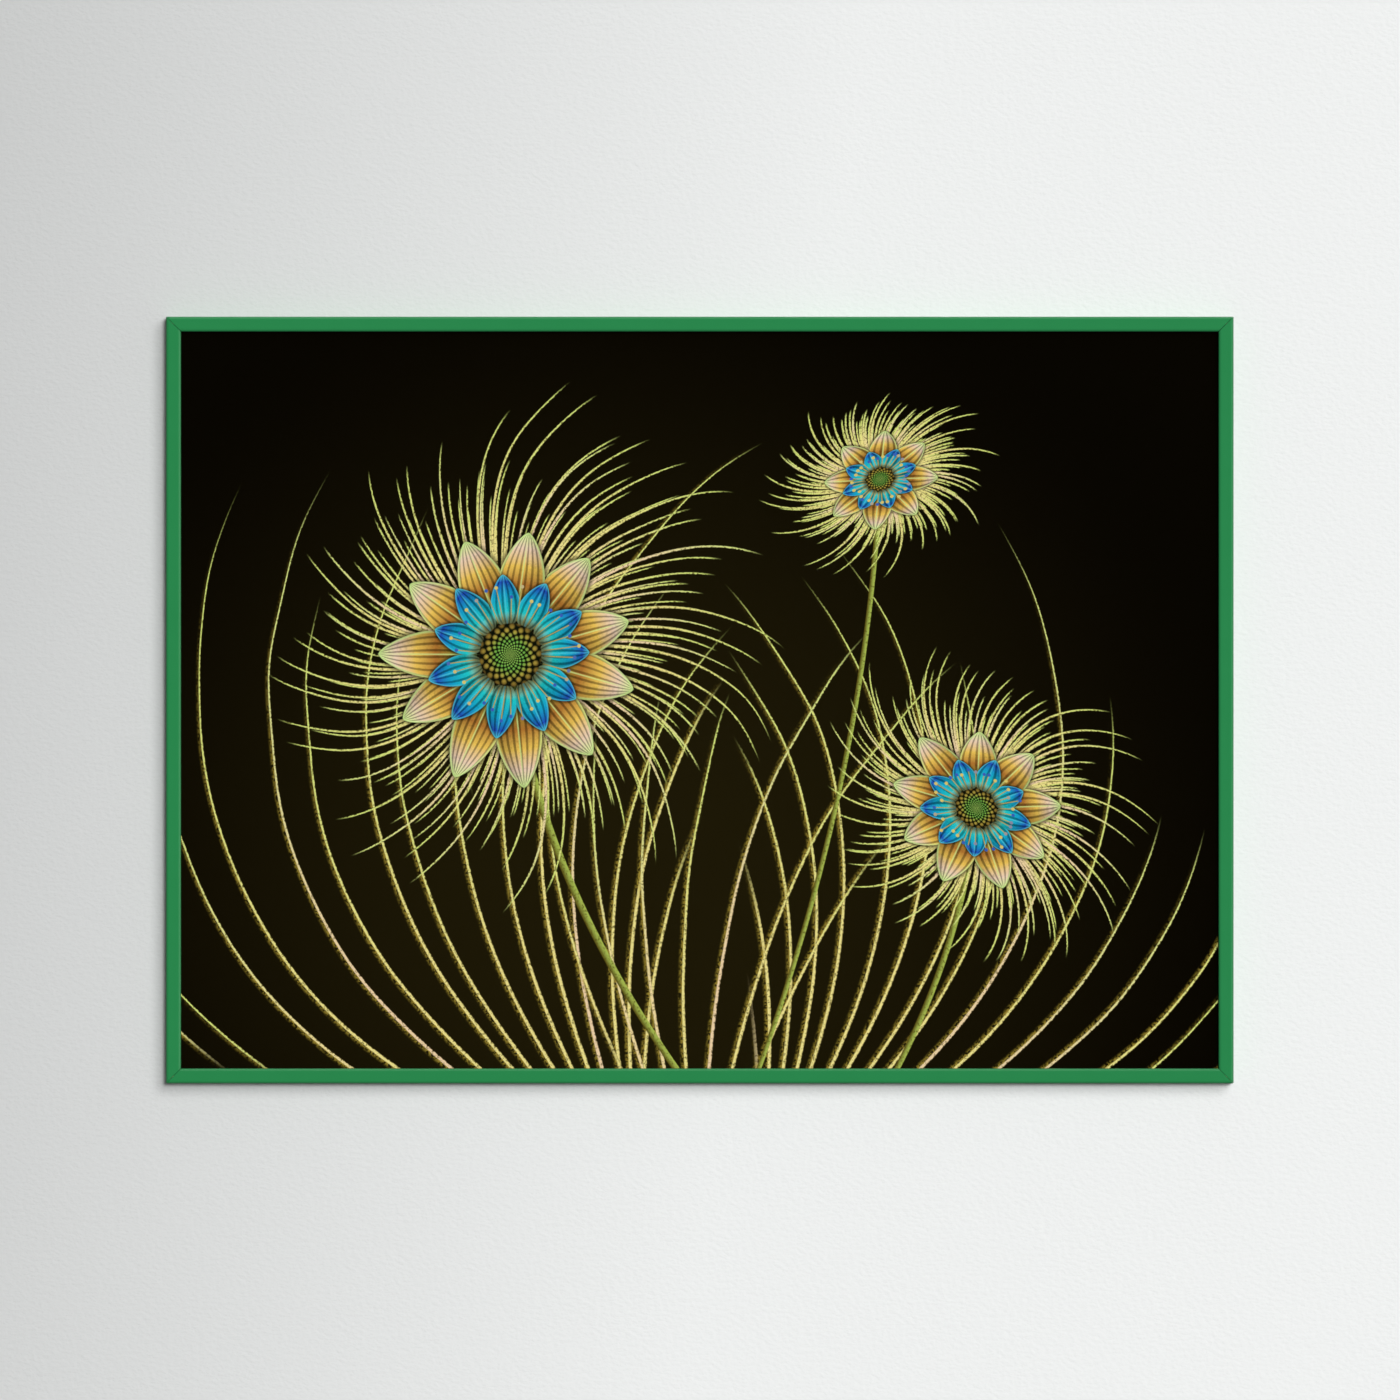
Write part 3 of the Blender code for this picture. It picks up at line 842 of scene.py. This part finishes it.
clear = bpy.data.materials.new("clear_acrylic")
clear.use_nodes = True
tree = clear.node_tree
tree.nodes.remove(tree.nodes["Principled BSDF"])
through = tree.nodes.new("ShaderNodeBsdfTransparent")
through.inputs["Color"].default_value = PANE_TINT
mirror = tree.nodes.new("ShaderNodeBsdfGlossy")
mirror.inputs["Roughness"].default_value = PANE_ROUGHNESS
glance = tree.nodes.new("ShaderNodeFresnel")
glance.inputs["IOR"].default_value = PANE_IOR
side = tree.nodes.new("ShaderNodeNewGeometry")
share = Amount(glance.outputs[0]) * (Amount(side.outputs["Backfacing"]) * -1 + 1)
either = tree.nodes.new("ShaderNodeMixShader")
feed(share, either.inputs[0])
tree.links.new(through.outputs[0], either.inputs[1])
tree.links.new(mirror.outputs[0], either.inputs[2])
tree.links.new(either.outputs[0], tree.nodes["Material Output"].inputs["Surface"])
coat("glazing", clear)

# The back: a 3 mm sheet of hardboard, pressed from brown wood fibre, its smooth side outwards. It
# closes the rebate behind the print, and the tabs hold it in.
BOARD_BROWNS = (0.150, 0.078, 0.036), (0.225, 0.125, 0.062)
PALE_FIBRE = (0.36, 0.22, 0.12)
DARK_FIBRE = (0.07, 0.035, 0.016)
FLECK_TAN = (0.45, 0.31, 0.18)
BOARD_RELIEF = 0.0001

hardboard, tree, shader = finish("hardboard", roughness=0.62)
where = place_on(tree)
cloud = noise(where, (9, 9, 9), detail=4, roughness=0.6)
fibre = noise(where, (1500, 1500, 380), detail=3, roughness=0.7)
cross_fibre = noise(where, (360, 1500, 1600), detail=3, roughness=0.7)
fleck = noise(where, (620, 620, 260), detail=1).ramp(0.72, 0.78)
brown = blend(*BOARD_BROWNS, cloud)
brown = blend(brown, PALE_FIBRE, fibre.ramp(0.52, 0.74) * 0.55)
brown = blend(brown, DARK_FIBRE, cross_fibre.ramp(0.54, 0.76) * 0.55)
brown = blend(brown, FLECK_TAN, fleck * 0.45)
tree.links.new(brown, shader.inputs["Base Color"])
relief(shader, fibre * 0.5 + cross_fibre * 0.5, BOARD_RELIEF)
coat("backing_board", hardboard)

# The tabs: flat points stamped from steel strip, plated with bright zinc and driven into slots in
# the rails' walls. Their round ends lie over the board and hold it in.
TAB_TIP = 0.0027
TAB_EASE = 0.00012
TAB_CORNER = 0.0003  # wider than the easing, for the same reason as on the rails
ZINC_GREYS = (0.46, 0.47, 0.49), (0.68, 0.69, 0.70)
ZINC_YELLOW = (0.62, 0.60, 0.53)
ZINC_ROUGHNESS = 0.17, 0.43  # where it is bright, and where it is stained
ROLLED_RELIEF = 0.000012

zinc, tree, shader = finish("zinc_plate", metallic=1.0)
where = place_on(tree)
rolled = noise(where, (120, 3000, 3000), detail=2)
stain = noise(where, (150, 150, 150), detail=4, roughness=0.6)
steel = blend(blend(*ZINC_GREYS, stain), ZINC_YELLOW, rolled * 0.25)
tree.links.new(steel, shader.inputs["Base Color"])
bright, stained = ZINC_ROUGHNESS
feed(stain * (stained - bright) + bright, shader.inputs["Roughness"])
relief(shader, rolled, ROLLED_RELIEF)

for side, (along_way, out_way) in RAIL_WAYS.items():
    for node in [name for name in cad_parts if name.startswith(f"tab_{side}")]:
        low, high = (np.array(corner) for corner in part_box(node))
        middle, size = (low + high) / 2, high - low
        half_wide = abs(size[[0, 2]] @ along_way) / 2
        half_long = abs(size[[0, 2]] @ out_way) / 2
        outline = rounded_section(
            [
                (-half_wide, half_long),
                (-half_wide, -half_long),
                (half_wide, -half_long),
                (half_wide, half_long),
            ],
            [TAB_CORNER, TAB_TIP, TAB_TIP, TAB_CORNER],
        )
        # The outline shrinks along a quarter circle towards both faces, so its edges are eased
        turn = np.linspace(0, math.pi / 2, 4)
        shrink = TAB_EASE * (1 - np.sin(turn))
        level = size[1] / 2 - TAB_EASE * (1 - np.cos(turn))
        shrink = np.concatenate([shrink, shrink[::-1]])
        level = np.concatenate([level, -level[::-1]])
        eased = outline[None] - outward(outline)[None] * shrink[:, None, None]
        along, out = eased[..., 0], eased[..., 1]
        points = np.stack(
            [
                middle[0] + along * along_way[0] + out * out_way[0],
                np.broadcast_to(middle[1] + level[:, None], along.shape),
                middle[2] + along * along_way[1] + out * out_way[1],
            ],
            axis=-1,
        )
        piece = skin(node.replace("tab", "point"), points, zinc)
        stands_for(piece, node)

# The hanger: a strip of the same steel whose middle is pressed back, clear of the board, so that
# a nail's head fits behind it. Nine V notches along its lower edge hang on the nail.
STRIP_THICKNESS = 0.0008
STRIP_CORNER = 0.0025
RAISED_HALF = 0.0115
RAMP = 0.005
NOTCH_PITCH = 0.0024
NOTCH_HALF_MOUTH = 0.00105
NOTCHES = 9
STRIP_EASE = 0.00014
TALL = 0.001  # the height of the strip's section, before each station stretches it

low, high = (np.array(corner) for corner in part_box("hanger"))
half_long = (high[0] - low[0]) / 2
notch_numbers = np.arange(NOTCHES) - (NOTCHES - 1) / 2
stations = [
    half_long - STRIP_CORNER * (1 - np.sin(np.linspace(0, math.pi / 2, 10))),
    RAISED_HALF + RAMP * np.linspace(0, 1, 21),
    (notch_numbers[:, None] * NOTCH_PITCH + NOTCH_HALF_MOUTH * np.array([-1, 0, 1])).ravel(),
]
both_halves = np.concatenate([*stations, *(-part for part in stations)])
x = np.unique(np.round(both_halves, 7))
# The lower and upper edge: straight, rounded at the corners, and cut by the notches
past = np.clip(np.abs(x) - (half_long - STRIP_CORNER), 0, STRIP_CORNER)
rounding = STRIP_CORNER - np.sqrt(STRIP_CORNER**2 - past**2)
to_notch = np.min(np.abs(x[:, None] - notch_numbers * NOTCH_PITCH), axis=1)
cut = np.clip(1 - to_notch / NOTCH_HALF_MOUTH, 0, 1) * -low[2]
lower, upper = low[2] + rounding + cut, high[2] - rounding
# The face towards the board rises along a smooth step, and the strip's middle follows it
raised_by = high[1] - low[1] - STRIP_THICKNESS
share = np.clip((RAISED_HALF + RAMP - np.abs(x)) / RAMP, 0, 1)
face = low[1] + raised_by * share**2 * (3 - 2 * share)
slope = -np.sign(x) * raised_by * 6 * share * (1 - share) / RAMP
lean = np.stack([-slope, np.ones_like(slope)], axis=1) / np.hypot(slope, 1)[:, None]
# Across the strip: its thickness by a height that is stretched to each station's two edges
across = rounded_section(
    [(0, 0), (STRIP_THICKNESS, 0), (STRIP_THICKNESS, TALL), (0, TALL)],
    [STRIP_EASE] * 4,
    steps=4,
)
low_half = across[:, 1] < TALL / 2
points = np.stack(
    [
        x[:, None] + lean[:, :1] * across[None, :, 0],
        face[:, None] + lean[:, 1:] * across[None, :, 0],
        np.where(low_half, lower[:, None], upper[:, None] - TALL) + across[None, :, 1],
    ],
    axis=-1,
)
stands_for(skin("sawtooth_hanger", points, zinc), "hanger")

# The rivets: domed heads on the hanger's feet, turned about their axis. The shank runs through
# the strip and the board, and its far end is spread in a counterbore in the board's front.
HEAD_HEIGHT = 0.0012
SHANK_RADIUS = 0.0015
FLANGE_RADIUS = 0.0030
FLANGE_THICKNESS = 0.0006
POLE_TURN = 0.01  # radians from the dome's pole, where a small flat face closes it
ROUND = np.linspace(0, math.tau, 48, endpoint=False)
for side in ("left", "right"):
    low, high = (np.array(corner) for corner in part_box(f"rivet_{side}"))
    middle = (low + high) / 2
    turn = np.linspace(POLE_TURN, math.pi / 2, 16)
    base = high[1] - HEAD_HEIGHT
    head_radius = (high[0] - low[0]) / 2
    dome = np.stack([head_radius * np.sin(turn), base + HEAD_HEIGHT * np.cos(turn)], axis=1)
    spread = low[1] + FLANGE_THICKNESS
    below = [
        (SHANK_RADIUS, base),
        (SHANK_RADIUS, spread),
        (FLANGE_RADIUS, spread),
        (FLANGE_RADIUS, low[1]),
        (SHANK_RADIUS / 10, low[1]),
    ]
    radius, height = np.concatenate([dome, below]).T
    points = np.stack(
        [
            middle[0] + radius[:, None] * np.cos(ROUND),
            np.broadcast_to(height[:, None], (len(height), len(ROUND))),
            middle[2] + radius[:, None] * np.sin(ROUND),
        ],
        axis=-1,
    )
    stands_for(skin(f"domed_rivet_{side}", points, zinc), f"rivet_{side}")

low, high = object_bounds()
